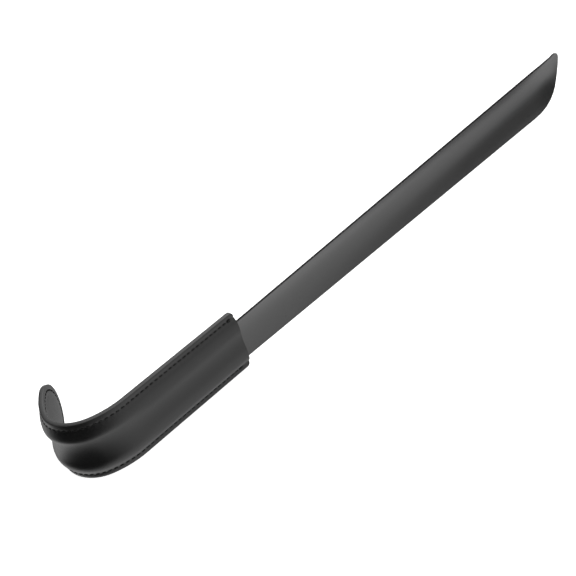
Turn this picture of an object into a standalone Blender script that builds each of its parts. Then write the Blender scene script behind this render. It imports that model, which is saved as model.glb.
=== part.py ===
"""Long shoehorn: a pressed steel strip with a hooked handle, covered in two sewn leather panels.

Every piece is described along the strip. The station is the distance along the strip from the
place where the hook starts to bend: positive towards the blade's tip, negative into the hook.
At each station the depth is measured across the strip towards the inside of the hook, from the
outer face of the leather's sewn rim, and z runs across the strip's width from its middle.

The shoehorn lies on its long edge: +X towards the blade's tip, +Y towards the inside of the hook,
+Z across the width. The origin is the middle of the bottom of the whole object's box.
"""
import math

import bmesh
import bpy
from mathutils import Vector

MM = 0.001

# Sheet materials and the gap left between pieces that touch.
STEEL_THICKNESS = 1.6 * MM
LEATHER_THICKNESS = 1.8 * MM
TOUCH_GAP = 0.3 * MM

# The hook: arcs (radius, degrees) walked from station 0, then a straight tail.
HOOK_ARCS = ((60.8 * MM, 26.4), (30.5 * MM, 80.5), (75.3 * MM, 18.3), (142.8 * MM, 6.6))
HOOK_LENGTH = 128.6 * MM

# The blade's tip curves gently backwards, to the hook's side.
TIP_BEND_START = 490.2 * MM
TIP_BEND_ARCS = ((103.9 * MM, 21.6), (790.0 * MM, 10.0))

# The leather sleeve. Its hook end is round.
SLEEVE_WIDTH = 50.8 * MM
SLEEVE_MOUTH = 105.5 * MM
MOUTH_CORNER = 3.5 * MM
ROUND_END_CENTRE = -(HOOK_LENGTH - SLEEVE_WIDTH / 2.0)

# The sleeve narrows into the hook, as the steel inside it does. Each side loses this much.
NARROWING = 3.5 * MM
NARROWING_START = -30.0 * MM
NARROWING_END = -110.0 * MM

# The step from the sewn rim up onto the steel, as distances in from the rim.
STEP_START = 5.5 * MM
STEP_END = 8.4 * MM

# The steel strip: (station, half width, trough depth, depth of the edges' mid-thickness).
STRIP_STATIONS = (
    (-HOOK_LENGTH, 12.9 * MM, 2.4 * MM, 0.5 * MM),
    (-60.0 * MM, 13.9 * MM, 2.7 * MM, -0.3 * MM),
    (0.0, 14.8 * MM, 2.6 * MM, -0.5 * MM),
    (SLEEVE_MOUTH, 16.4 * MM, 2.4 * MM, -0.5 * MM),
    (TIP_BEND_START, 22.2 * MM, 8.7 * MM, -0.8 * MM),
    (560.0 * MM, 17.8 * MM, 5.5 * MM, -1.2 * MM),
)

# The blade's tip: a rounded outline between an ellipse and a point, cut blunt at its very end.
TIP_START = 477.5 * MM
TIP_ROUNDING = 79.5 * MM
TIP_EXPONENT = 1.8
TIP_ANGLES = (85.0, 79.0, 72.0, 64.0, 55.0, 45.0, 34.0, 22.0, 10.0)

# The seam.
SEAM_INSET = 4.7 * MM
SEAM_END_MARGIN = 4.0 * MM
THREAD_RADIUS = 0.4 * MM

# Spacing of the points that shape the pieces.
STEEL_COLUMNS = 12
BEND_STEP = 4.4 * MM
SLEEVE_STEP = 22.0 * MM
BLADE_STEP = 40.0 * MM
ROUND_END_STEPS = 14
LEATHER_INSETS = tuple(
    inset * MM for inset in (0.0, 1.0, 2.8, 5.5, 6.3, 7.0, 7.7, 8.4, 10.5, 13.5, 17.0, 21.0, 25.4)
)

# Colour, roughness and metallic value of each piece.
FINISHES = {
    "steel_strip": ((0.085, 0.085, 0.087), 0.42, 0.6),
    "outer_leather": ((0.030, 0.030, 0.031), 0.45, 0.0),
    "inner_leather": ((0.034, 0.034, 0.035), 0.45, 0.0),
    "needle_thread": ((0.012, 0.012, 0.012), 0.70, 0.0),
    "bobbin_thread": ((0.012, 0.012, 0.012), 0.70, 0.0),
}


def clear_scene():
    for scene_object in list(bpy.data.objects):
        bpy.data.objects.remove(scene_object)


def smooth_step(value):
    value = min(max(value, 0.0), 1.0)
    return value * value * (3.0 - 2.0 * value)


def stations_between(first, last, step):
    """Evenly spaced stations from first towards last, without last itself."""
    count = max(1, round(abs(last - first) / step))
    return [first + (last - first) * index / count for index in range(count)]


def walk(distance, arcs):
    """Walk along arcs and then straight on: returns (forward, sideways, heading)."""
    forward, sideways, heading = 0.0, 0.0, 0.0
    for radius, degrees in arcs:
        turn = min(distance / radius, math.radians(degrees))
        forward += radius * (math.sin(heading + turn) - math.sin(heading))
        sideways += radius * (math.cos(heading) - math.cos(heading + turn))
        heading += turn
        distance -= radius * turn
    distance = max(distance, 0.0)
    return forward + distance * math.cos(heading), sideways + distance * math.sin(heading), heading


def place(station, depth, z):
    """The point at a station along the strip, at a depth through it and at z across it."""
    if station < 0.0:
        forward, sideways, heading = walk(-station, HOOK_ARCS)
        x = -forward + depth * math.sin(heading)
    else:
        straight = min(station, TIP_BEND_START)
        forward, sideways, heading = walk(station - straight, TIP_BEND_ARCS)
        x = straight + forward - depth * math.sin(heading)
    return Vector((x, sideways + depth * math.cos(heading), z))


def trough_arc(station):
    """Half width of the steel at a station, and its section arc's radius and centre depth."""
    lower = STRIP_STATIONS[0]
    for upper in STRIP_STATIONS[1:]:
        if station <= upper[0]:
            break
        lower = upper
    share = (station - lower[0]) / (upper[0] - lower[0])
    half_width, sag, edge_depth = (
        low + share * (high - low) for low, high in zip(lower[1:], upper[1:])
    )
    radius = (half_width ** 2 + sag ** 2) / (2.0 * sag)
    return half_width, radius, edge_depth + sag - radius


def steel_point(station, z, offset):
    """A point of the trough above z on its middle surface, moved by offset square to the steel."""
    radius, centre = trough_arc(station)[1:]
    angle = math.asin(z / radius)
    depth = centre + (radius + offset) * math.cos(angle)
    return place(station, depth, (radius + offset) * math.sin(angle))


def sleeve_share(station):
    """Width of the sleeve at a station, as a share of its full width."""
    blend = smooth_step((NARROWING_START - station) / (NARROWING_START - NARROWING_END))
    return 1.0 - blend * NARROWING / (SLEEVE_WIDTH / 2.0)


def rim_inset(station, z):
    """Distance in from the rim, before narrowing: along both long edges and the round end."""
    past_centre = max(ROUND_END_CENTRE - station, 0.0)
    return SLEEVE_WIDTH / 2.0 - math.hypot(past_centre, z)


def leather_point(station, z, rim_depth, steel_offset):
    """A point of a leather face: flat at the rim, then over the steel, with a smooth step between."""
    half_width, radius, centre = trough_arc(station)
    narrowed_z = z * sleeve_share(station)
    z_on_steel = min(abs(narrowed_z), half_width)
    cover_depth = centre + math.sqrt((radius + steel_offset) ** 2 - z_on_steel ** 2)
    blend = smooth_step((rim_inset(station, z) - STEP_START) / (STEP_END - STEP_START))
    return place(station, rim_depth + blend * (cover_depth - rim_depth), narrowed_z)


def mouth_station(z):
    """Where the sleeve's mouth lies at z: cut square, with small round corners."""
    beside_corner = max(abs(z) - (SLEEVE_WIDTH / 2.0 - MOUTH_CORNER), 0.0)
    reach = math.sqrt(max(MOUTH_CORNER ** 2 - beside_corner ** 2, 0.0))
    return SLEEVE_MOUTH - MOUTH_CORNER + reach


def sleeve_stations():
    """Stations that the steel and both leathers share, so that their facets run parallel."""
    stations = stations_between(SLEEVE_MOUTH - 2.0 * MOUTH_CORNER, 0.0, SLEEVE_STEP)
    stations += stations_between(0.0, ROUND_END_CENTRE, BEND_STEP)
    return stations + [ROUND_END_CENTRE]


class Layout:
    """Points (station, z) that cover a sheet, and the faces between them."""

    def __init__(self):
        self.points = []
        self.faces = []

    def add_rows(self, rows):
        """Join rows of equal length into a grid. Returns the index of the last row's first point."""
        width = len(rows[0])
        for row in rows:
            self.points.extend(row)
        for row_start in range(0, (len(rows) - 1) * width, width):
            for corner in range(row_start, row_start + width - 1):
                self.faces.append((corner, corner + width, corner + width + 1, corner + 1))
        return (len(rows) - 1) * width

    def add_round_end(self, row_start, width):
        """Close the last row with a half circle around its middle point."""
        middle = row_start + width // 2
        spoke = [middle - index for index in range(width // 2 + 1)]
        last_spoke = [middle + index for index in range(width // 2 + 1)]
        centre_station = self.points[middle][0]
        radii = [self.points[index][1] for index in spoke]
        for step in range(1, ROUND_END_STEPS + 1):
            angle = math.pi * step / ROUND_END_STEPS
            next_spoke = last_spoke
            if step < ROUND_END_STEPS:
                first_new = len(self.points)
                for radius in radii[1:]:
                    station = centre_station - radius * math.sin(angle)
                    self.points.append((station, radius * math.cos(angle)))
                next_spoke = [middle] + list(range(first_new, len(self.points)))
            self.faces.append((middle, next_spoke[1], spoke[1]))
            for inner in range(1, len(spoke) - 1):
                self.faces.append(
                    (spoke[inner], next_spoke[inner], next_spoke[inner + 1], spoke[inner + 1])
                )
            spoke = next_spoke


def closed_sheet(name, layout, front_point, back_point):
    """Make one closed body: the layout's front and back faces, and walls around their border."""
    builder = bmesh.new()
    front = [builder.verts.new(front_point(station, z)) for station, z in layout.points]
    back = [builder.verts.new(back_point(station, z)) for station, z in layout.points]
    edge_uses = {}
    for face in layout.faces:
        builder.faces.new([front[index] for index in face])
        builder.faces.new([back[index] for index in reversed(face)])
        for start, end in zip(face, face[1:] + face[:1]):
            key = (min(start, end), max(start, end))
            edge_uses[key] = edge_uses.get(key, 0) + 1
    for (start, end), uses in edge_uses.items():
        if uses == 1:
            builder.faces.new((front[start], front[end], back[end], back[start]))
    bmesh.ops.recalc_face_normals(builder, faces=builder.faces)
    mesh = bpy.data.meshes.new(name)
    builder.to_mesh(mesh)
    builder.free()
    mesh.shade_smooth()
    mesh.set_sharp_from_angle(angle=math.radians(40.0))
    return add_object(name, mesh)


def add_object(name, data):
    """Link an object to the scene, with a material of its own."""
    new_object = bpy.data.objects.new(name, data)
    bpy.context.collection.objects.link(new_object)
    colour, roughness, metallic = FINISHES[name]
    material = bpy.data.materials.new(name)
    material.use_nodes = True
    shader = material.node_tree.nodes["Principled BSDF"]
    shader.inputs["Base Color"].default_value = (*colour, 1.0)
    shader.inputs["Roughness"].default_value = roughness
    shader.inputs["Metallic"].default_value = metallic
    data.materials.append(material)
    return new_object


def make_steel_strip():
    """The strip: a pressed trough from the blade's rounded tip to the round end in the hook."""
    shares = [2.0 * index / STEEL_COLUMNS - 1.0 for index in range(STEEL_COLUMNS, -1, -1)]
    outline = []
    for degrees in TIP_ANGLES:
        angle = math.radians(degrees)
        station = TIP_START + TIP_ROUNDING * math.sin(angle) ** (2.0 / TIP_EXPONENT)
        outline.append((station, math.cos(angle) ** (2.0 / TIP_EXPONENT)))
    straight = stations_between(TIP_START, SLEEVE_MOUTH - 2.0 * MOUTH_CORNER, BLADE_STEP)
    outline += [(station, 1.0) for station in straight + sleeve_stations()]
    rows = []
    for station, narrowing in outline:
        half_width = trough_arc(station)[0] * narrowing
        rows.append([(station, share * half_width) for share in shares])
    layout = Layout()
    layout.add_round_end(layout.add_rows(rows), len(shares))
    return closed_sheet(
        "steel_strip",
        layout,
        lambda station, z: steel_point(station, z, -STEEL_THICKNESS / 2.0),
        lambda station, z: steel_point(station, z, STEEL_THICKNESS / 2.0),
    )


def make_leather(name, rim_depths, steel_offsets):
    """One leather panel, from the mouth to the hook's round end."""
    one_side = [SLEEVE_WIDTH / 2.0 - inset for inset in LEATHER_INSETS]
    columns = one_side + [-z for z in reversed(one_side[:-1])]
    rows = [[(mouth_station(z), z) for z in columns]]
    rows += [[(station, z) for z in columns] for station in sleeve_stations()]
    layout = Layout()
    layout.add_round_end(layout.add_rows(rows), len(columns))
    return closed_sheet(
        name,
        layout,
        lambda station, z: leather_point(station, z, rim_depths[0], steel_offsets[0]),
        lambda station, z: leather_point(station, z, rim_depths[1], steel_offsets[1]),
    )


def seam_route():
    """Station and z along the seam: down one edge, around the hook's end and back up the other."""
    radius = SLEEVE_WIDTH / 2.0 - SEAM_INSET
    stations = stations_between(SLEEVE_MOUTH - SEAM_END_MARGIN, 0.0, SLEEVE_STEP)
    stations += stations_between(0.0, ROUND_END_CENTRE, BEND_STEP)
    there = [(station, radius) for station in stations]
    turns = [math.pi * step / ROUND_END_STEPS for step in range(ROUND_END_STEPS + 1)]
    around = [
        (ROUND_END_CENTRE - radius * math.sin(turn), radius * math.cos(turn)) for turn in turns
    ]
    back_again = [(station, -radius) for station in reversed(stations)]
    return there + around + back_again


def make_thread(name, depth):
    """One thread of the seam: a plain round cord that lies along the whole seam."""
    curve = bpy.data.curves.new(name, "CURVE")
    curve.dimensions = "3D"
    curve.bevel_depth = THREAD_RADIUS
    curve.bevel_resolution = 1
    curve.use_fill_caps = True
    route = seam_route()
    spline = curve.splines.new("POLY")
    spline.points.add(len(route) - 1)
    for point, (station, z) in zip(spline.points, route):
        point.co = (*place(station, depth, z * sleeve_share(station)), 1.0)
    return add_object(name, curve)


def centre_on_floor(pieces):
    """Parent every piece to one empty that puts the middle of the box's bottom on the origin."""
    bpy.context.view_layer.update()
    corners = [piece.matrix_world @ Vector(corner) for piece in pieces for corner in piece.bound_box]
    lowest = [min(corner[axis] for corner in corners) for axis in range(3)]
    highest = [max(corner[axis] for corner in corners) for axis in range(3)]
    origin = bpy.data.objects.new("shoehorn_origin", None)
    bpy.context.collection.objects.link(origin)
    origin.location = (
        -(lowest[0] + highest[0]) / 2.0,
        -(lowest[1] + highest[1]) / 2.0,
        -lowest[2],
    )
    for piece in pieces:
        piece.parent = origin


def main():
    clear_scene()
    near_steel = STEEL_THICKNESS / 2.0 + TOUCH_GAP
    off_steel = near_steel + LEATHER_THICKNESS
    rim_thickness = 2.0 * LEATHER_THICKNESS + TOUCH_GAP
    off_leather = TOUCH_GAP + THREAD_RADIUS
    pieces = [
        make_steel_strip(),
        make_leather("outer_leather", (0.0, LEATHER_THICKNESS), (-off_steel, -near_steel)),
        make_leather(
            "inner_leather",
            (rim_thickness, rim_thickness - LEATHER_THICKNESS),
            (off_steel, near_steel),
        ),
        make_thread("needle_thread", -off_leather),
        make_thread("bobbin_thread", rim_thickness + off_leather),
    ]
    centre_on_floor(pieces)


main()
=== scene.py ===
"""Looks of the long shoehorn: detailed steel, leather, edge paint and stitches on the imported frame."""
import math
import random

import bmesh
import bpy
from mathutils import Matrix, Vector, noise


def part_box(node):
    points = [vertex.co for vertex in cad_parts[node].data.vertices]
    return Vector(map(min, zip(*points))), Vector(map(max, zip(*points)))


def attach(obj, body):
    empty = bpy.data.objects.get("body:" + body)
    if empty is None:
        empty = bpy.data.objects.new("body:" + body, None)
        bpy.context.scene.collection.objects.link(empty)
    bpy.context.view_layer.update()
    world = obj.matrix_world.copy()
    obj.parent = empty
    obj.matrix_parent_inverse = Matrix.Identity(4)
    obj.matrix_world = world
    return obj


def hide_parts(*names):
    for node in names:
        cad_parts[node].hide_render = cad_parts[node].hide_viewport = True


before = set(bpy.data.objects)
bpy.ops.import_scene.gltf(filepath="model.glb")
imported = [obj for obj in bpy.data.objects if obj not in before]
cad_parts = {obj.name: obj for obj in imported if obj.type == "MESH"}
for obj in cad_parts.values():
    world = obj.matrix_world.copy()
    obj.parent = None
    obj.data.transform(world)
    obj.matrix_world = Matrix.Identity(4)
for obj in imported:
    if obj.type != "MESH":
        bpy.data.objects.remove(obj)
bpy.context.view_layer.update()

MM = 0.001

# ---------------------------------------------------------------------------------------------
# The shape, in the strip's own coordinates: the station runs along the strip from where the hook
# starts to bend (positive towards the tip), depth runs through it towards the hook's inside from
# the outer face of the sewn rim, and z runs across it from its middle. An arc is (radius, degrees
# that it turns through).
# ---------------------------------------------------------------------------------------------
HOOK_ARCS = ((60.8 * MM, 26.4), (30.5 * MM, 80.5), (75.3 * MM, 18.3), (142.8 * MM, 6.6))
HOOK_LENGTH = 128.6 * MM
TIP_BEND_START = 490.2 * MM
TIP_BEND_ARCS = ((103.9 * MM, 21.6), (790.0 * MM, 10.0))
SLEEVE_MOUTH = 105.5 * MM
MOUTH_CORNER = 3.5 * MM
HALF_SLEEVE = 25.4 * MM
ROUND_END_CENTRE = -(HOOK_LENGTH - HALF_SLEEVE)
RIM_THICKNESS = 3.9 * MM

# The sleeve narrows into the hook, as the steel inside it does. Each side loses this much.
NARROWING = 3.5 * MM
NARROWING_START = -30.0 * MM
NARROWING_END = -110.0 * MM

# The outline of the blade's tip is half of a slightly pointed ellipse, TIP_ROUNDING long.
STEEL_THICKNESS = 1.6 * MM
TIP_START = 477.5 * MM
TIP_ROUNDING = 79.5 * MM
TIP_EXPONENT = 1.8

# The strip: (station, half width, trough depth, depth of the edges' mid-thickness).
STRIP_STATIONS = (
    (-HOOK_LENGTH, 12.9 * MM, 2.4 * MM, 0.5 * MM),
    (-60.0 * MM, 13.9 * MM, 2.7 * MM, -0.3 * MM),
    (0.0, 14.8 * MM, 2.6 * MM, -0.5 * MM),
    (SLEEVE_MOUTH, 16.4 * MM, 2.4 * MM, -0.5 * MM),
    (TIP_BEND_START, 22.2 * MM, 8.7 * MM, -0.8 * MM),
    (505.0 * MM, 21.85 * MM, 7.9 * MM, -0.35 * MM),
    (560.0 * MM, 17.8 * MM, 5.5 * MM, -1.2 * MM),
)

# Sections of the leather's visible faces: (distance in from the rim, depth), in millimetres. The
# sewn flange rolls off to the painted edge. Past the seam the outer leather swells out over the
# steel's edge and sinks a little towards the trough's middle, and the inner leather follows the
# steel's rounded back.
OUTER_GRIP = (
    (0.25, 0.24), (0.55, 0.08), (1.0, 0.0), (1.7, -0.02), (2.6, 0.08), (3.4, 0.2), (4.2, 0.34),
    (5.0, 0.28), (5.6, -0.1), (6.3, -0.65), (7.2, -1.3), (8.4, -1.85), (10.2, -2.25),
    (13.0, -2.5), (15.5, -2.55), (18.0, -2.35), (20.5, -2.0), (23.0, -1.72), (25.4, -1.6),
)
OUTER_FLANGE = (
    (0.25, 0.34), (0.55, 0.2), (1.0, 0.1), (1.7, 0.0), (2.6, -0.12), (3.4, -0.2), (4.2, -0.2),
)
OUTER_BEND = OUTER_FLANGE + (
    (5.1, -0.35), (6.5, -1.05), (8.5, -2.05), (10.5, -2.75), (12.3, -3.05), (13.6, -3.0),
    (15.2, -2.5), (17.2, -1.9), (19.5, -1.4), (22.0, -1.05), (25.4, -0.8),
)
OUTER_TAIL = OUTER_FLANGE + (
    (5.1, -0.35), (6.5, -0.9), (8.5, -1.75), (10.5, -2.2), (12.3, -2.1), (13.6, -1.85),
    (15.2, -1.5), (17.2, -1.15), (19.5, -0.85), (22.0, -0.6), (25.4, -0.4),
)
INNER_FLANGE = (
    (0.25, 3.5), (0.55, 3.62), (1.0, 3.74), (1.7, 3.88), (2.6, 4.02), (3.4, 3.98), (4.2, 3.62),
)
INNER_GRIP = INNER_FLANGE + (
    (5.2, 3.6), (6.4, 3.35), (8.0, 2.75), (9.6, 2.6), (11.2, 2.8), (14.0, 3.45), (17.5, 4.2),
    (21.5, 4.75), (25.4, 4.9),
)
INNER_TAIL = INNER_FLANGE + (
    (5.2, 3.62), (6.4, 4.2), (8.0, 4.7), (9.6, 5.0), (11.2, 5.2), (14.0, 5.5), (17.5, 5.8),
    (21.5, 6.05), (25.4, 6.15),
)

# Where the sections change into each other: (station where the change starts, its length).
GRIP_TO_BEND = (20.0 * MM, 45.0 * MM)
BEND_TO_TAIL = (-70.0 * MM, 30.0 * MM)

# In the flange the leathers' backs are flat and level. Further in, the outer leather's back is
# bedded on the steel, as far as a little past the steel's edge, but leaves the leather some
# thickness. The inner leather has its full thickness, except where its face comes near the flange.
FLANGE_WIDTH = 5.6 * MM
BEDDING_GAP = 0.15 * MM
BEDDING_PAST_EDGE = 0.3 * MM
THINNEST_LEATHER = 0.5 * MM
LEATHER_THICKNESS = 1.8 * MM
LEATHER_EDGE_RADIUS = 0.25 * MM

# How far in from the rim the leather's columns of points lie, in millimetres: close together at
# the rim, at the seam and over the steel's edge. The rows at the mouth follow its shape less and
# less: each lies at a share of the way from the mouth to the first straight row.
LEATHER_INSETS = (
    0.25, 0.4, 0.6, 0.85, 1.2, 1.7, 2.3, 2.9, 3.4, 3.8, 4.1, 4.4, 4.7, 5.0, 5.3, 5.6, 5.9, 6.3,
    6.7, 7.1, 7.6, 8.2, 8.8, 9.5, 10.2, 10.9, 11.7, 12.5, 13.5, 14.5, 15.7, 17.0, 18.5, 20.0, 22.0,
)
MOUTH_ROWS = (0.0, 0.12, 0.35, 0.65)
MOUTH_ROWS_LENGTH = 5.0 * MM
LEATHER_ROW_STEP = 1.125 * MM
LEATHER_ROUND_STEPS = 72

# The steel's points: across it, along the shaft, along the hook and around its hidden round end.
# The rounded tip has a row at each of these angles of its outline.
STEEL_COLUMNS = 44
SHAFT_ROW_STEP = 5.0 * MM
HOOK_ROW_STEP = 2.5 * MM
STEEL_ROUND_STEPS = 32
TIP_DEGREES = (
    85.0, 82.5, 79.5, 76.0, 72.0, 67.0, 62.0, 57.0, 51.0, 45.0, 39.0, 32.0, 25.0, 17.0, 9.0,
)
STEEL_EDGE_RADIUS = 0.45 * MM

# The painted edge, measured outwards from the rim: its hidden foot inside the rim, the
# shoulder where its crown starts, and the crown's height. Then its half thicknesses.
PAINT_FOOT = -1.2 * MM
PAINT_SHOULDER = -0.5 * MM
PAINT_CROWN = 0.46 * MM
PAINT_HALF_DEPTH = 1.82 * MM
PAINT_FOOT_HALF_DEPTH = 1.0 * MM
PAINT_RIPPLE = 0.03 * MM
RIPPLE_PER_RING = 0.35
PAINT_STEPS = 12
CORNER_STEPS = 6
RIM_STEP = 2.2 * MM
RIM_ROUND_STEPS = 40

# The seam. On the lower side it runs nearer to the rim, and the section shifts with it: from a
# little in from the rim, and less and less towards the trough.
SEAM_INSET = 4.7 * MM
LOWER_SEAM_SHIFT = 0.9 * MM
SHIFT_FULL_FROM = 3.0 * MM
SHIFT_GONE_FROM = 16.0 * MM
SHIFT_FADE = 9.0 * MM
STITCH_PITCH = 4.5 * MM
STITCH_LENGTH = 2.8 * MM
STITCH_RADIUS = 0.46 * MM
SEAM_START = SLEEVE_MOUTH - 3.2 * MM

# The thread pulls a shallow groove into the leather, deeper at each hole, and the leather swells
# a little between the holes on the groove's inner side. The swelling's place and the reach of it
# all are in groove widths.
GROOVE_WIDTH = 0.75 * MM
GROOVE_DEPTH = 0.03 * MM
HOLE_DEPTH = 0.20 * MM
SWELL_HEIGHT = 0.10 * MM
SWELL_PLACE = 2.4
SWELL_SPREAD = 1.6
RELIEF_REACH = 4.0
GROOVE_PAST_END = 2.0 * MM

# The hide's own unevenness: its height, its waves per metre along and across the strip, and where
# it fades in past the seam.
HIDE_UNEVENNESS = 0.09 * MM
HIDE_WAVES_ALONG = 28.0
HIDE_WAVES_ACROSS = 45.0
HIDE_FADE_START = 5.0 * MM
HIDE_FADE = 4.0 * MM

# A stitch: its thread comes up out of one hole, bows over the face and dives into the next. The
# depth of its ends and the height of its bow are in thread radii. No two stitches are the same.
STITCH_SIDES = 10
STITCH_STEPS = 12
STITCH_SLANT = 0.10 * MM
SLANT_VARIES = 0.05 * MM
ENDS_VARY = 0.1 * MM
THICKNESS_VARIES = (0.94, 1.05)
END_TAPER = 0.35
STITCH_END_DEPTH = 1.1
STITCH_BOW = 1.35

# The thread's two plies: how deep they show, as a share of its radius, and radians of twist per
# step along a stitch.
PLY_DEPTH = 0.13
PLY_TWIST = 1.15

# The seam's two ends, at the mouth, are sewn over twice more: (along, aside, lift, stoutness) of
# each of these stitches.
BACK_TACKS = ((0.0, 0.42 * MM, 1.75, 1.3), (0.25 * MM, -0.42 * MM, 1.45, 1.3))

# Where the strip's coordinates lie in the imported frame. The CAD's needle thread stands this far
# out past the outer face of the rim.
THREAD_PAST_RIM = 1.1 * MM
leather_low, leather_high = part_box("outer_leather")
origin = Vector((
    leather_high[0] - SLEEVE_MOUTH,
    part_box("needle_thread")[0][1] + THREAD_PAST_RIM,
    (leather_low[2] + leather_high[2]) / 2.0,
))


def walk(distance, arcs):
    """Walk along arcs and then straight on: returns (forward, sideways, heading)."""
    forward, sideways, heading = 0.0, 0.0, 0.0
    for radius, degrees in arcs:
        turn = min(distance / radius, math.radians(degrees))
        forward += radius * (math.sin(heading + turn) - math.sin(heading))
        sideways += radius * (math.cos(heading) - math.cos(heading + turn))
        heading += turn
        distance -= radius * turn
    distance = max(distance, 0.0)
    return forward + distance * math.cos(heading), sideways + distance * math.sin(heading), heading


def place(station, depth, z):
    """The point at a station along the strip, at a depth through it and at z across it."""
    if station < 0.0:
        forward, sideways, heading = walk(-station, HOOK_ARCS)
        x = -forward + depth * math.sin(heading)
    else:
        straight = min(station, TIP_BEND_START)
        forward, sideways, heading = walk(station - straight, TIP_BEND_ARCS)
        x = straight + forward - depth * math.sin(heading)
    return origin + Vector((x, sideways + depth * math.cos(heading), z))


def depth_direction(station):
    """The direction that depth runs in at a station."""
    return place(station, 1.0, 0.0) - place(station, 0.0, 0.0)


def trough_arc(station):
    """Half width of the steel at a station, and its section arc's radius and centre depth."""
    lower = STRIP_STATIONS[0]
    for upper in STRIP_STATIONS[1:]:
        if station <= upper[0]:
            break
        lower = upper
    share = (station - lower[0]) / (upper[0] - lower[0])
    half_width, sag, edge_depth = (
        low + share * (high - low) for low, high in zip(lower[1:], upper[1:])
    )
    radius = (half_width ** 2 + sag ** 2) / (2.0 * sag)
    return half_width, radius, edge_depth + sag - radius


def steel_point(station, z, offset):
    """A point of the trough above z on its middle surface, moved by offset square to the steel."""
    radius, centre = trough_arc(station)[1:]
    angle = math.asin(z / radius)
    depth = centre + (radius + offset) * math.cos(angle)
    return place(station, depth, (radius + offset) * math.sin(angle))


def steel_face_depth(station, z):
    """Depth of the steel's outer face above z. Beside the steel it is far behind the leather."""
    half_width, radius, centre = trough_arc(station)
    if abs(z) > half_width + BEDDING_PAST_EDGE:
        return RIM_THICKNESS
    reach = min(abs(z), half_width)
    return centre + math.sqrt((radius - STEEL_THICKNESS / 2.0) ** 2 - reach ** 2)


def smooth_step(value):
    """Rise softly from 0 to 1 as the value goes from 0 to 1, and stay level outside."""
    value = min(max(value, 0.0), 1.0)
    return value * value * (3.0 - 2.0 * value)


def on_sleeve(station, depth, z):
    """A point of the sleeve, whose z is narrowed along with the sleeve's width."""
    blend = smooth_step((NARROWING_START - station) / (NARROWING_START - NARROWING_END))
    return place(station, depth, z * (1.0 - blend * NARROWING / HALF_SLEEVE))


def rim_inset(station, z):
    """Distance in from the rim, before narrowing: along both long edges and the round end."""
    past_centre = max(ROUND_END_CENTRE - station, 0.0)
    return HALF_SLEEVE - math.hypot(past_centre, z)


def seam_shift(z):
    """How much nearer to the rim the seam runs at z: nothing above, all of it well below."""
    return LOWER_SEAM_SHIFT * smooth_step(-1.5 * z / HALF_SLEEVE)


def section(profile, inset):
    """Depth of a leather section at an inset, by monotone cubic interpolation of its points."""
    inset = min(max(inset / MM, profile[0][0]), profile[-1][0])
    slopes = [
        (after[1] - before[1]) / (after[0] - before[0])
        for before, after in zip(profile, profile[1:])
    ]

    def tangent(at):
        if at in (0, len(profile) - 1):
            return 0.0
        before, after = slopes[at - 1], slopes[at]
        return 0.0 if before * after <= 0.0 else 2.0 * before * after / (before + after)

    index = 0
    while inset > profile[index + 1][0]:
        index += 1
    (start_inset, start_depth), (end_inset, end_depth) = profile[index:index + 2]
    span = end_inset - start_inset
    t = (inset - start_inset) / span
    depth = start_depth * (1 + 2 * t) * (1 - t) ** 2 + end_depth * t * t * (3 - 2 * t)
    depth += span * (tangent(index) * t * (1 - t) ** 2 + tangent(index + 1) * t * t * (t - 1))
    return depth * MM


def changed(station, change):
    """How much of a change between two sections is done at a station, from 0 to 1."""
    start, length = change
    return smooth_step((start - station) / length)


def blend_sections(station, inset, grip, bend, tail):
    """The section at a station: the grip's, the bend's or the tail's, with long soft changes."""
    depth = section(grip, inset)
    depth += changed(station, GRIP_TO_BEND) * (section(bend, inset) - depth)
    return depth + changed(station, BEND_TO_TAIL) * (section(tail, inset) - depth)


# ---------------------------------------------------------------------------------------------
# The seam's route, and the small shapes it presses into the leather.
# ---------------------------------------------------------------------------------------------
SEAM_RADIUS = HALF_SLEEVE - SEAM_INSET
SEAM_STRAIGHT = SEAM_START - ROUND_END_CENTRE
SEAM_LENGTH = 2.0 * SEAM_STRAIGHT + math.pi * SEAM_RADIUS
STITCH_COUNT = int(SEAM_LENGTH / STITCH_PITCH)


def on_route(distance, radius):
    """Station and z at a distance along the seam, on a line at a radius from the middle."""
    if distance < SEAM_STRAIGHT:
        return SEAM_START - distance, radius
    distance -= SEAM_STRAIGHT
    if distance < math.pi * SEAM_RADIUS:
        turn = distance / SEAM_RADIUS
        radius += seam_shift(radius * math.cos(turn))
        return ROUND_END_CENTRE - radius * math.sin(turn), radius * math.cos(turn)
    return ROUND_END_CENTRE + distance - math.pi * SEAM_RADIUS, -radius - LOWER_SEAM_SHIFT


def along_seam(station, z):
    """Distance along the seam of the point nearest to (station, z)."""
    if station >= ROUND_END_CENTRE:
        straight = SEAM_START - station
        return straight if z >= 0.0 else SEAM_LENGTH - straight
    return SEAM_STRAIGHT + SEAM_RADIUS * math.atan2(ROUND_END_CENTRE - station, z)


def seam_relief(station, z, inset):
    """How far the pull of the seam sinks the leather's face: a groove with a dimple per hole."""
    beside = (inset - SEAM_INSET) / GROOVE_WIDTH
    if abs(beside) > RELIEF_REACH:
        return 0.0
    distance = along_seam(station, z)
    if distance < -GROOVE_PAST_END or distance > SEAM_LENGTH + GROOVE_PAST_END:
        return 0.0
    phase = math.cos(math.tau * distance / STITCH_PITCH)
    groove = (GROOVE_DEPTH + HOLE_DEPTH * max(phase, 0.0) ** 2) * math.exp(-beside * beside)
    beside_swell = beside - SWELL_PLACE
    swell = SWELL_HEIGHT * (0.5 - 0.5 * phase) * math.exp(-(beside_swell ** 2) / SWELL_SPREAD)
    return groove - swell


def hide_relief(station, z, outer):
    """Slow unevenness of the hide over the steel, different for the two leathers."""
    hide_start = 0.0 if outer else 1.0
    spot = Vector((station * HIDE_WAVES_ALONG, (z + hide_start) * HIDE_WAVES_ACROSS, 0.0))
    return HIDE_UNEVENNESS * noise.noise(spot)


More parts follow.
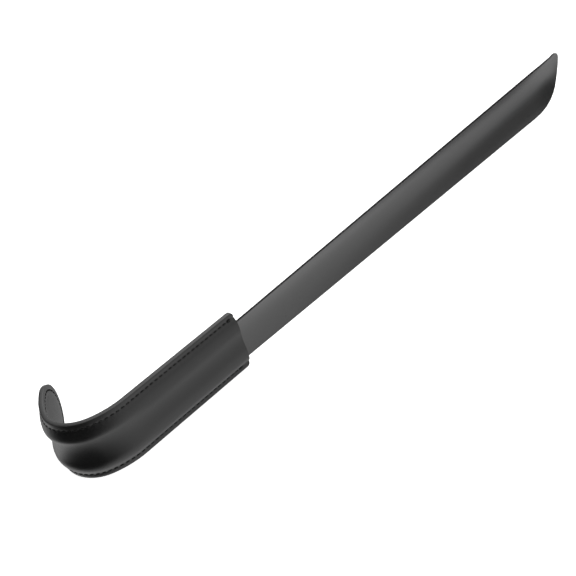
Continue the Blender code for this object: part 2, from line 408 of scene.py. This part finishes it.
def leather_depth(station, z, outer):
    """Depth of a leather's visible face."""
    inset = rim_inset(station, z)
    past_edge = smooth_step(inset / SHIFT_FULL_FROM)
    before_trough = smooth_step((SHIFT_GONE_FROM - inset) / SHIFT_FADE)
    inset += seam_shift(z) * past_edge * before_trough
    if outer:
        depth = blend_sections(station, inset, OUTER_GRIP, OUTER_BEND, OUTER_TAIL)
    else:
        depth = blend_sections(station, inset, INNER_GRIP, INNER_GRIP, INNER_TAIL)
    past_seam = smooth_step((inset - HIDE_FADE_START) / HIDE_FADE)
    relief = seam_relief(station, z, inset) + past_seam * hide_relief(station, z, outer)
    return depth + relief if outer else depth - relief


# ---------------------------------------------------------------------------------------------
# Meshes
# ---------------------------------------------------------------------------------------------
def stations_between(first, last, step):
    """Evenly spaced stations from first towards last, without last itself."""
    count = max(1, round(abs(last - first) / step))
    return [first + (last - first) * index / count for index in range(count)]


class Layout:
    """Points (station, z) that cover a sheet, and the faces between them."""

    def __init__(self):
        self.points = []
        self.faces = []

    def add_rows(self, rows):
        """Join rows of equal length into a grid. Returns the index of the last row's first point."""
        width = len(rows[0])
        for row in rows:
            self.points.extend(row)
        for row_start in range(0, (len(rows) - 1) * width, width):
            for corner in range(row_start, row_start + width - 1):
                self.faces.append((corner, corner + width, corner + width + 1, corner + 1))
        return (len(rows) - 1) * width

    def add_round_end(self, row_start, width, steps):
        """Close the last row with a half circle around its middle point."""
        middle = row_start + width // 2
        spoke = [middle - index for index in range(width // 2 + 1)]
        last_spoke = [middle + index for index in range(width // 2 + 1)]
        centre_station = self.points[middle][0]
        radii = [self.points[index][1] for index in spoke]
        for step in range(1, steps + 1):
            angle = math.pi * step / steps
            next_spoke = last_spoke
            if step < steps:
                first_new = len(self.points)
                for radius in radii[1:]:
                    station = centre_station - radius * math.sin(angle)
                    self.points.append((station, radius * math.cos(angle)))
                next_spoke = [middle] + list(range(first_new, len(self.points)))
            self.faces.append((middle, next_spoke[1], spoke[1]))
            for inner in range(1, len(spoke) - 1):
                self.faces.append(
                    (spoke[inner], next_spoke[inner], next_spoke[inner + 1], spoke[inner + 1])
                )
            spoke = next_spoke


def finished_piece(name, builder):
    """The smooth-shaded object of a built mesh."""
    mesh = bpy.data.meshes.new(name)
    builder.to_mesh(mesh)
    builder.free()
    mesh.shade_smooth()
    piece = bpy.data.objects.new(name, mesh)
    bpy.context.collection.objects.link(piece)
    return piece


def closed_sheet(name, layout, front_point, back_point, edge_radius):
    """One closed body: the layout's front and back faces, and rounded walls around their border."""
    builder = bmesh.new()
    front = [builder.verts.new(front_point(station, z)) for station, z in layout.points]
    back = [builder.verts.new(back_point(station, z)) for station, z in layout.points]
    edge_uses = {}
    for face in layout.faces:
        builder.faces.new([front[index] for index in face])
        builder.faces.new([back[index] for index in reversed(face)])
        for start, end in zip(face, face[1:] + face[:1]):
            key = (min(start, end), max(start, end))
            edge_uses[key] = edge_uses.get(key, 0) + 1
    rims = []
    for (start, end), uses in edge_uses.items():
        if uses == 1:
            wall = builder.faces.new((front[start], front[end], back[end], back[start]))
            wall.material_index = 1
            rims += [(front[start], front[end]), (back[start], back[end])]
    bmesh.ops.recalc_face_normals(builder, faces=builder.faces)
    edges = [builder.edges.get(pair) for pair in rims]
    bmesh.ops.bevel(
        builder, geom=edges, offset=edge_radius, segments=3, profile=0.5, affect="EDGES",
        material=1, clamp_overlap=True,
    )
    return finished_piece(name, builder)


def leather_columns():
    """z of the leather's columns of points."""
    one_side = [HALF_SLEEVE - inset * MM for inset in LEATHER_INSETS]
    return one_side + [0.0] + [-z for z in reversed(one_side)]


def mouth_station(z):
    """Where the sleeve's mouth lies at z: cut square, with small round corners."""
    beside_corner = max(abs(z) - (HALF_SLEEVE - MOUTH_CORNER), 0.0)
    reach = math.sqrt(max(MOUTH_CORNER ** 2 - beside_corner ** 2, 0.0))
    return SLEEVE_MOUTH - MOUTH_CORNER + reach


def make_leather(name, outer):
    """One leather panel, from the mouth to the hook's round end."""
    columns = leather_columns()
    first_whole_row = SLEEVE_MOUTH - MOUTH_ROWS_LENGTH
    rows = []
    for share in MOUTH_ROWS:
        row = []
        for z in columns:
            start = mouth_station(z) - LEATHER_EDGE_RADIUS
            row.append((start + share * (first_whole_row - start), z))
        rows.append(row)
    stations = stations_between(first_whole_row, ROUND_END_CENTRE, LEATHER_ROW_STEP)
    for station in stations + [ROUND_END_CENTRE]:
        rows.append([(station, z) for z in columns])
    layout = Layout()
    layout.add_round_end(layout.add_rows(rows), len(columns), LEATHER_ROUND_STEPS)
    half_rim = RIM_THICKNESS / 2.0

    def front(station, z):
        return on_sleeve(station, leather_depth(station, z, outer), z)

    def back(station, z):
        if rim_inset(station, z) <= FLANGE_WIDTH:
            return on_sleeve(station, half_rim, z)
        face = leather_depth(station, z, outer)
        if outer:
            bedded = max(steel_face_depth(station, z) - BEDDING_GAP, face + THINNEST_LEATHER)
            return on_sleeve(station, min(bedded, half_rim), z)
        return on_sleeve(station, max(face - LEATHER_THICKNESS, half_rim), z)

    return closed_sheet(name, layout, front, back, LEATHER_EDGE_RADIUS)


def make_blade():
    """The pressed strip, from the blade's rounded tip to the round end inside the hook."""
    shares = [2.0 * index / STEEL_COLUMNS - 1.0 for index in range(STEEL_COLUMNS, -1, -1)]
    outline = []
    for degrees in TIP_DEGREES:
        angle = math.radians(degrees)
        station = TIP_START + TIP_ROUNDING * math.sin(angle) ** (2.0 / TIP_EXPONENT)
        outline.append((station, math.cos(angle) ** (2.0 / TIP_EXPONENT)))
    stations = stations_between(TIP_START, 0.0, SHAFT_ROW_STEP)
    stations += stations_between(0.0, ROUND_END_CENTRE, HOOK_ROW_STEP) + [ROUND_END_CENTRE]
    outline += [(station, 1.0) for station in stations]
    rows = []
    for station, narrowing in outline:
        half_width = trough_arc(station)[0] * narrowing
        rows.append([(station, share * half_width) for share in shares])
    layout = Layout()
    layout.add_round_end(layout.add_rows(rows), len(shares), STEEL_ROUND_STEPS)
    return closed_sheet(
        "pressed_steel_strip",
        layout,
        lambda station, z: steel_point(station, z, -STEEL_THICKNESS / 2.0),
        lambda station, z: steel_point(station, z, STEEL_THICKNESS / 2.0),
        STEEL_EDGE_RADIUS,
    )


def sweep(builder, rings):
    """Join rings of equal point count into a tube that is closed at both ends."""
    loops = [[builder.verts.new(point) for point in ring] for ring in rings]
    count = len(loops[0])
    for one, two in zip(loops, loops[1:]):
        for index in range(count):
            after = (index + 1) % count
            builder.faces.new((one[index], one[after], two[after], two[index]))
    builder.faces.new(list(reversed(loops[0])))
    builder.faces.new(loops[-1])


def rim_route():
    """(station, z, outward station, outward z) around the rim, mouth corner to mouth corner."""
    route = []
    corner_station = SLEEVE_MOUTH - MOUTH_CORNER
    corner_z = HALF_SLEEVE - MOUTH_CORNER
    for step in range(CORNER_STEPS + 1):
        angle = math.pi / 2.0 * step / CORNER_STEPS
        out = (math.cos(angle), math.sin(angle))
        station, z = corner_station + MOUTH_CORNER * out[0], corner_z + MOUTH_CORNER * out[1]
        route.append((station, z, *out))
    for station in stations_between(corner_station, ROUND_END_CENTRE, RIM_STEP)[1:]:
        route.append((station, HALF_SLEEVE, 0.0, 1.0))
    for step in range(RIM_ROUND_STEPS + 1):
        angle = math.pi * step / RIM_ROUND_STEPS
        out = (-math.sin(angle), math.cos(angle))
        route.append((ROUND_END_CENTRE + HALF_SLEEVE * out[0], HALF_SLEEVE * out[1], *out))
    mirrored = [(station, -z, out_s, -out_z) for station, z, out_s, out_z in route]
    lower = [item for item in reversed(mirrored) if item[0] > ROUND_END_CENTRE + 0.1 * MM]
    return route + lower


def make_edge_paint():
    """The painted edge: a thin crowned coat that runs around the rim and joins both leathers."""
    builder = bmesh.new()
    rings = []
    middle = RIM_THICKNESS / 2.0
    for number, (station, z, out_s, out_z) in enumerate(rim_route()):
        crown = PAINT_CROWN + PAINT_RIPPLE * noise.noise(Vector((number * RIPPLE_PER_RING, 3.0, 0.0)))
        # The coat's outer corner is rounder on the upper side of the bend than elsewhere.
        upper_bend = smooth_step(z / HALF_SLEEVE) * changed(station, GRIP_TO_BEND)
        ring = []
        for step in range(PAINT_STEPS + 1):
            angle = math.pi * (step / PAINT_STEPS - 0.5)
            power = 0.5 + 0.5 * upper_bend if angle < 0.0 else 0.5
            across = math.copysign(abs(math.sin(angle)) ** power, math.sin(angle))
            reach = PAINT_SHOULDER + crown * abs(math.cos(angle)) ** power
            depth = middle + PAINT_HALF_DEPTH * across
            ring.append(on_sleeve(station + out_s * reach, depth, z + out_z * reach))
        for depth in (middle + PAINT_FOOT_HALF_DEPTH, middle - PAINT_FOOT_HALF_DEPTH):
            ring.append(on_sleeve(station + out_s * PAINT_FOOT, depth, z + out_z * PAINT_FOOT))
        rings.append(ring)
    sweep(builder, rings)
    bmesh.ops.recalc_face_normals(builder, faces=builder.faces)
    return finished_piece("rim_edge_paint", builder)


def seam_runs():
    """(middle, aside, lift, stoutness) of every stitch: the seam's own, then its two ends'."""
    runs = []
    for number in range(STITCH_COUNT):
        runs.append(((number + 0.5) * STITCH_PITCH, 0.0, 1.0, 1.0))
    for end in (0.5 * STITCH_PITCH, (STITCH_COUNT - 0.5) * STITCH_PITCH):
        for along, aside, lift, stoutness in BACK_TACKS:
            runs.append((end + along, aside, lift, stoutness))
    return runs


def stitch_ring(centre, forward, normal, reaches):
    """A ring of points around a thread's centre, at a reach for each of them."""
    side = forward.cross(normal).normalized()
    up = side.cross(forward)
    ring = []
    for index, reach in enumerate(reaches):
        angle = math.tau * index / len(reaches)
        ring.append(centre + reach * (math.cos(angle) * side + math.sin(angle) * up))
    return ring


def make_stitches(name, outer, seed):
    """All stitches of one face: short twisted threads that dive into a hole at each end."""
    draw = random.Random(seed)
    builder = bmesh.new()
    outward = -1.0 if outer else 1.0
    for middle, aside, lift, stoutness in seam_runs():
        slant = STITCH_SLANT + draw.uniform(-SLANT_VARIES, SLANT_VARIES)
        start = middle - STITCH_LENGTH / 2.0 + draw.uniform(-ENDS_VARY, ENDS_VARY)
        end = middle + STITCH_LENGTH / 2.0 + draw.uniform(-ENDS_VARY, ENDS_VARY)
        twist_start = draw.uniform(0.0, math.tau)
        thickness = stoutness * STITCH_RADIUS * draw.uniform(*THICKNESS_VARIES)
        stations = []
        centres = []
        for step in range(STITCH_STEPS + 1):
            t = step / STITCH_STEPS
            radius = SEAM_RADIUS + slant * (2.0 * t - 1.0) + aside
            station, z = on_route(start + (end - start) * t, radius)
            bow = 1.0 - (2.0 * t - 1.0) ** 6
            height = (bow * (STITCH_BOW + 0.5 * (lift - 1.0)) - STITCH_END_DEPTH) * thickness
            depth = leather_depth(station, z, outer) + outward * height
            stations.append(station)
            centres.append(on_sleeve(station, depth, z))
        rings = []
        for step, (station, centre) in enumerate(zip(stations, centres)):
            before = centres[max(step - 1, 0)]
            after = centres[min(step + 1, STITCH_STEPS)]
            taper = 1.0 - END_TAPER * abs(2.0 * step / STITCH_STEPS - 1.0) ** 4
            twist = twist_start + step * PLY_TWIST
            reaches = []
            for index in range(STITCH_SIDES):
                ply = 1.0 + PLY_DEPTH * math.cos(2.0 * math.tau * index / STITCH_SIDES + twist)
                reaches.append(thickness * taper * ply)
            forward = (after - before).normalized()
            rings.append(stitch_ring(centre, forward, depth_direction(station), reaches))
        sweep(builder, rings)
    bmesh.ops.recalc_face_normals(builder, faces=builder.faces)
    return finished_piece(name, builder)


# ---------------------------------------------------------------------------------------------
# Materials
# ---------------------------------------------------------------------------------------------
def grey(level):
    """A colour without a hue."""
    return (level, level, level)


def scaled(colour, factor):
    """A colour made darker or lighter."""
    return tuple(factor * channel for channel in colour)


LEATHER_BLACK = grey(0.006)
# Painted light: the inner leather is the outer's black hide, with a base colour four times lighter.
INNER_BLACK_PAINTED_LIGHT = grey(0.024)
PAINT_BLACK = grey(0.016)
STEEL_BLACK = grey(0.016)
# Painted shade: the strip's edge faces get a darker copy of the faces' black coat.
EDGE_BLACK_PAINTED_SHADE = grey(0.010)
THREAD_BLACK = grey(0.004)
FLOOR_GLOW = 0.9

# Nearly all values of a noise texture lie in this range.
NOISE_RANGE = (0.3, 0.7)


class Shader:
    """A small helper that adds nodes to a new material."""

    def __init__(self, name, colour, roughness, specular):
        self.material = bpy.data.materials.new(name)
        self.material.use_nodes = True
        self.tree = self.material.node_tree
        self.principled = self.tree.nodes["Principled BSDF"]
        self.principled.inputs["Base Color"].default_value = (*colour, 1.0)
        self.principled.inputs["Roughness"].default_value = roughness
        self.principled.inputs["Specular IOR Level"].default_value = specular
        self.coordinates = self.tree.nodes.new("ShaderNodeTexCoord").outputs["Object"]

    def node(self, kind, inputs, **settings):
        """A new node, with each input linked to a socket or set to a value."""
        made = self.tree.nodes.new(kind)
        for key, value in settings.items():
            setattr(made, key, value)
        for key, value in inputs.items():
            if isinstance(value, bpy.types.NodeSocket):
                self.tree.links.new(value, made.inputs[key])
            else:
                made.inputs[key].default_value = value
        return made

    def noise(self, scale, detail, roughness):
        """Soft random values over the surface."""
        made = self.node("ShaderNodeTexNoise", {
            "Vector": self.coordinates, "Scale": scale, "Detail": detail, "Roughness": roughness,
        })
        return made.outputs["Fac"]

    def spread(self, value, low, high, source=NOISE_RANGE):
        """Map the source range of a value to the range from low to high."""
        made = self.node("ShaderNodeMapRange", {
            "Value": value, "From Min": source[0], "From Max": source[1], "To Min": low,
            "To Max": high,
        })
        return made.outputs["Result"]

    def shade(self, value, dark, light, source=NOISE_RANGE):
        """Colours from dark to light over the source range of a value."""
        ramp = self.node("ShaderNodeValToRGB", {"Fac": self.spread(value, 0.0, 1.0, source)})
        ramp.color_ramp.elements[0].color = (*dark, 1.0)
        ramp.color_ramp.elements[1].color = (*light, 1.0)
        return ramp.outputs["Color"]

    def add(self, one, two):
        """The sum of two values."""
        return self.node("ShaderNodeMath", {0: one, 1: two}, operation="ADD").outputs["Value"]

    def bump(self, height, distance, strength, normal=None):
        """A normal tilted by a height, on top of another normal where there is one."""
        inputs = {"Height": height, "Distance": distance, "Strength": strength}
        if normal is not None:
            inputs["Normal"] = normal
        return self.node("ShaderNodeBump", inputs).outputs["Normal"]

    def to(self, socket, value):
        """Link a value to one of the shader's own sockets."""
        self.tree.links.new(value, self.principled.inputs[socket])


def leather_material(name, base, roughness, specular):
    """Smooth dyed leather: fine pebbled grain, creases, and slow changes of colour and gloss."""
    shader = Shader(name, base, roughness, specular)
    clouds = shader.noise(scale=38.0, detail=3.0, roughness=0.55)
    shader.to("Base Color", shader.shade(clouds, scaled(base, 0.86), scaled(base, 1.16)))
    fine = shader.noise(scale=900.0, detail=2.0, roughness=0.6)
    slow_gloss = shader.spread(clouds, roughness - 0.03, roughness + 0.04)
    shader.to("Roughness", shader.add(slow_gloss, shader.spread(fine, -0.03, 0.03)))
    wobble = shader.node("ShaderNodeTexNoise", {
        "Vector": shader.coordinates, "Scale": 260.0, "Detail": 1.0,
    }).outputs["Color"]
    shift = shader.node("ShaderNodeVectorMath", {
        0: wobble, "Scale": 0.0012,
    }, operation="SCALE").outputs["Vector"]
    warped = shader.node("ShaderNodeVectorMath", {
        0: shader.coordinates, 1: shift,
    }, operation="ADD").outputs["Vector"]
    pebbles = shader.node("ShaderNodeTexVoronoi", {
        "Vector": warped, "Scale": 1150.0,
    }, feature="SMOOTH_F1").outputs["Distance"]
    creases = shader.node("ShaderNodeTexVoronoi", {
        "Vector": warped, "Scale": 420.0,
    }, feature="DISTANCE_TO_EDGE").outputs["Distance"]
    crease_height = shader.spread(creases, 0.0, 1.0, source=(0.0, 0.09))
    normal = shader.bump(crease_height, distance=0.05 * MM, strength=0.35)
    normal = shader.bump(pebbles, distance=0.08 * MM, strength=0.35, normal=normal)
    shader.to("Normal", normal)
    return shader.material


def edge_paint_material(name, base, roughness, specular):
    """Edge paint: smoother and a little glossier than the hide, with faint brush waves."""
    shader = Shader(name, base, roughness, specular)
    waves = shader.noise(scale=210.0, detail=2.0, roughness=0.5)
    shader.to("Base Color", shader.shade(waves, scaled(base, 0.9), scaled(base, 1.12)))
    shader.to("Roughness", shader.spread(waves, roughness - 0.05, roughness + 0.07))
    shader.to("Normal", shader.bump(waves, distance=0.2 * MM, strength=0.25))
    return shader.material


def steel_material(name, base, roughness, specular):
    """Satin powder coat on steel: very fine even grain, with slow faint unevenness."""
    shader = Shader(name, base, roughness, specular)
    slow = shader.noise(scale=14.0, detail=3.0, roughness=0.5)
    grain = shader.noise(scale=1700.0, detail=2.0, roughness=0.65)
    shader.to("Base Color", shader.shade(grain, scaled(base, 0.93), scaled(base, 1.07)))
    slow_gloss = shader.spread(slow, roughness - 0.02, roughness + 0.02)
    shader.to("Roughness", shader.add(slow_gloss, shader.spread(grain, -0.04, 0.04)))
    shader.to("Normal", shader.bump(grain, distance=0.04 * MM, strength=0.18))
    return shader.material


def thread_material(name, base, specular):
    """Waxed black thread: matte, with fine fibres."""
    shader = Shader(name, base, 0.62, specular)
    fibres = shader.noise(scale=5200.0, detail=3.0, roughness=0.6)
    shader.to("Base Color", shader.shade(fibres, scaled(base, 0.6), scaled(base, 1.6)))
    shader.to("Normal", shader.bump(fibres, distance=0.06 * MM, strength=0.5))
    return shader.material


def floor_material():
    """A pale matte studio floor with an even glow of its own."""
    shader = Shader("pale_floor", grey(0.86), 0.9, 0.1)
    mottle = shader.noise(scale=3.0, detail=3.0, roughness=0.5)
    shader.to("Base Color", shader.shade(mottle, grey(0.85), grey(0.87), source=(0.0, 1.0)))
    shader.principled.inputs["Emission Color"].default_value = (1.0, 1.0, 1.0, 1.0)
    shader.principled.inputs["Emission Strength"].default_value = FLOOR_GLOW
    return shader.material


# ---------------------------------------------------------------------------------------------
# The pieces
# ---------------------------------------------------------------------------------------------
outer_leather = leather_material("outer_leather_hide", LEATHER_BLACK, roughness=0.33, specular=0.5)
# The inner leather's lighter base colour is painted light on the hook's inner face.
inner_leather = leather_material("inner_leather_hide_painted_light", INNER_BLACK_PAINTED_LIGHT, roughness=0.36, specular=0.92)
edge_paint = edge_paint_material("edge_paint", PAINT_BLACK, roughness=0.34, specular=0.56)
coated_steel = steel_material("satin_coated_steel", STEEL_BLACK, roughness=0.33, specular=0.96)
# The edges' darker base colour is painted shade along the strip's edges.
steel_edge = steel_material("satin_coated_steel_edge_painted_shade", EDGE_BLACK_PAINTED_SHADE, roughness=0.5, specular=0.12)
needle_thread = thread_material("needle_thread_black", THREAD_BLACK, specular=0.4)
bobbin_thread = thread_material("bobbin_thread_black", THREAD_BLACK, specular=0.1)

blade = make_blade()
outer_panel = make_leather("outer_leather_panel", outer=True)
inner_panel = make_leather("inner_leather_panel", outer=False)
rim_paint = make_edge_paint()
needle_stitches = make_stitches("needle_stitches", outer=True, seed=11)
bobbin_stitches = make_stitches("bobbin_stitches", outer=False, seed=12)

for piece, materials in (
    (blade, (coated_steel, steel_edge)),
    (outer_panel, (outer_leather, edge_paint)),
    (inner_panel, (inner_leather, edge_paint)),
    (rim_paint, (edge_paint,)),
    (needle_stitches, (needle_thread,)),
    (bobbin_stitches, (bobbin_thread,)),
):
    for material in materials:
        piece.data.materials.append(material)
    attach(piece, "root")

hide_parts("steel_strip")
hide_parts("outer_leather")
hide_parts("inner_leather")
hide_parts("needle_thread")
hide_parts("bobbin_thread")

# ---------------------------------------------------------------------------------------------
# Floor, light and camera
# ---------------------------------------------------------------------------------------------
HALF_FLOOR = 7.0


def make_floor():
    """A wide square floor under the shoehorn."""
    mesh = bpy.data.meshes.new("studio_floor")
    corners = [(-1.0, -1.0), (1.0, -1.0), (1.0, 1.0), (-1.0, 1.0)]
    mesh.from_pydata(
        [(x * HALF_FLOOR, y * HALF_FLOOR, 0.0) for x, y in corners], [], [(0, 1, 2, 3)],
    )
    mesh.materials.append(floor_material())
    made = bpy.data.objects.new("studio_floor", mesh)
    bpy.context.collection.objects.link(made)
    return made


floor = make_floor()
floor.visible_glossy = False

# The studio: an even pale surround, with dark screens that shape the reflections.
# Screens: (azimuth, elevation, full within, gone beyond, darkness), all but the last in degrees;
# azimuth 0 is in front (-Y). A negative darkness makes a soft light of a screen.
STUDIO_GLOW = 1.15
SCREENS = (
    (-75.0, 10.0, 40.0, 90.0, 0.98),
    (141.8, -22.9, 25.0, 61.8, 0.64),
    (62.3, 5.0, 24.7, 29.7, 0.97),
    (65.8, -15.2, 33.7, 38.7, 0.27),
    (110.0, 42.0, 15.0, 52.0, -0.95),
    (195.0, 32.0, 12.0, 40.0, 0.9),
)


def direction(azimuth, elevation):
    """The direction of an azimuth and an elevation, in degrees."""
    turn, rise = math.radians(azimuth), math.radians(elevation)
    return Vector((math.sin(turn) * math.cos(rise), -math.cos(turn) * math.cos(rise), math.sin(rise)))


def make_studio():
    """The world: its glow, multiplied by what each screen leaves of it in every direction."""
    world = bpy.data.worlds.new("pale_studio")
    world.use_nodes = True
    bpy.context.scene.world = world
    tree = world.node_tree
    heading = tree.nodes.new("ShaderNodeTexCoord").outputs["Generated"]
    glow = None
    for azimuth, elevation, full_within, gone_beyond, darkness in SCREENS:
        towards = tree.nodes.new("ShaderNodeVectorMath")
        towards.operation = "DOT_PRODUCT"
        tree.links.new(heading, towards.inputs[0])
        towards.inputs[1].default_value = direction(azimuth, elevation)
        fade = tree.nodes.new("ShaderNodeMapRange")
        fade.interpolation_type = "SMOOTHSTEP"
        tree.links.new(towards.outputs["Value"], fade.inputs["Value"])
        fade.inputs["From Min"].default_value = math.cos(math.radians(gone_beyond))
        fade.inputs["From Max"].default_value = math.cos(math.radians(full_within))
        fade.inputs["To Min"].default_value = 1.0
        fade.inputs["To Max"].default_value = 1.0 - darkness
        if glow is None:
            glow = fade.outputs["Result"]
        else:
            product = tree.nodes.new("ShaderNodeMath")
            product.operation = "MULTIPLY"
            tree.links.new(glow, product.inputs[0])
            tree.links.new(fade.outputs["Result"], product.inputs[1])
            glow = product.outputs["Value"]
    strength = tree.nodes.new("ShaderNodeMath")
    strength.operation = "MULTIPLY"
    tree.links.new(glow, strength.inputs[0])
    strength.inputs[1].default_value = STUDIO_GLOW
    background = tree.nodes["Background"]
    background.inputs["Color"].default_value = (1.0, 1.0, 1.0, 1.0)
    tree.links.new(strength.outputs["Value"], background.inputs["Strength"])


make_studio()

# The camera, placed from the point where the hook starts to bend: its place, its axes, its lens
# and its sensor's width in millimetres.
CAMERA_OFFSET = Vector((-0.27343, -0.59814, 0.50712))
CAMERA_RIGHT = Vector((0.6737, -0.69554, -0.24971))
CAMERA_UP = Vector((0.55661, 0.25531, 0.79057))
CAMERA_BACK = Vector((-0.48611, -0.6716, 0.55915))
CAMERA_LENS = 73.6586
CAMERA_SENSOR = 36.0


def make_camera():
    """The camera, looking down and along the shoehorn from beside its hook."""
    data = bpy.data.cameras.new("studio_camera")
    data.lens = CAMERA_LENS
    data.sensor_width = CAMERA_SENSOR
    data.clip_start = 0.01
    camera = bpy.data.objects.new("studio_camera", data)
    bpy.context.collection.objects.link(camera)
    turned = Matrix((CAMERA_RIGHT, CAMERA_UP, CAMERA_BACK)).transposed().to_4x4()
    camera.matrix_world = Matrix.Translation(origin + CAMERA_OFFSET) @ turned
    bpy.context.scene.camera = camera


make_camera()
bpy.context.scene.view_settings.view_transform = "Standard"
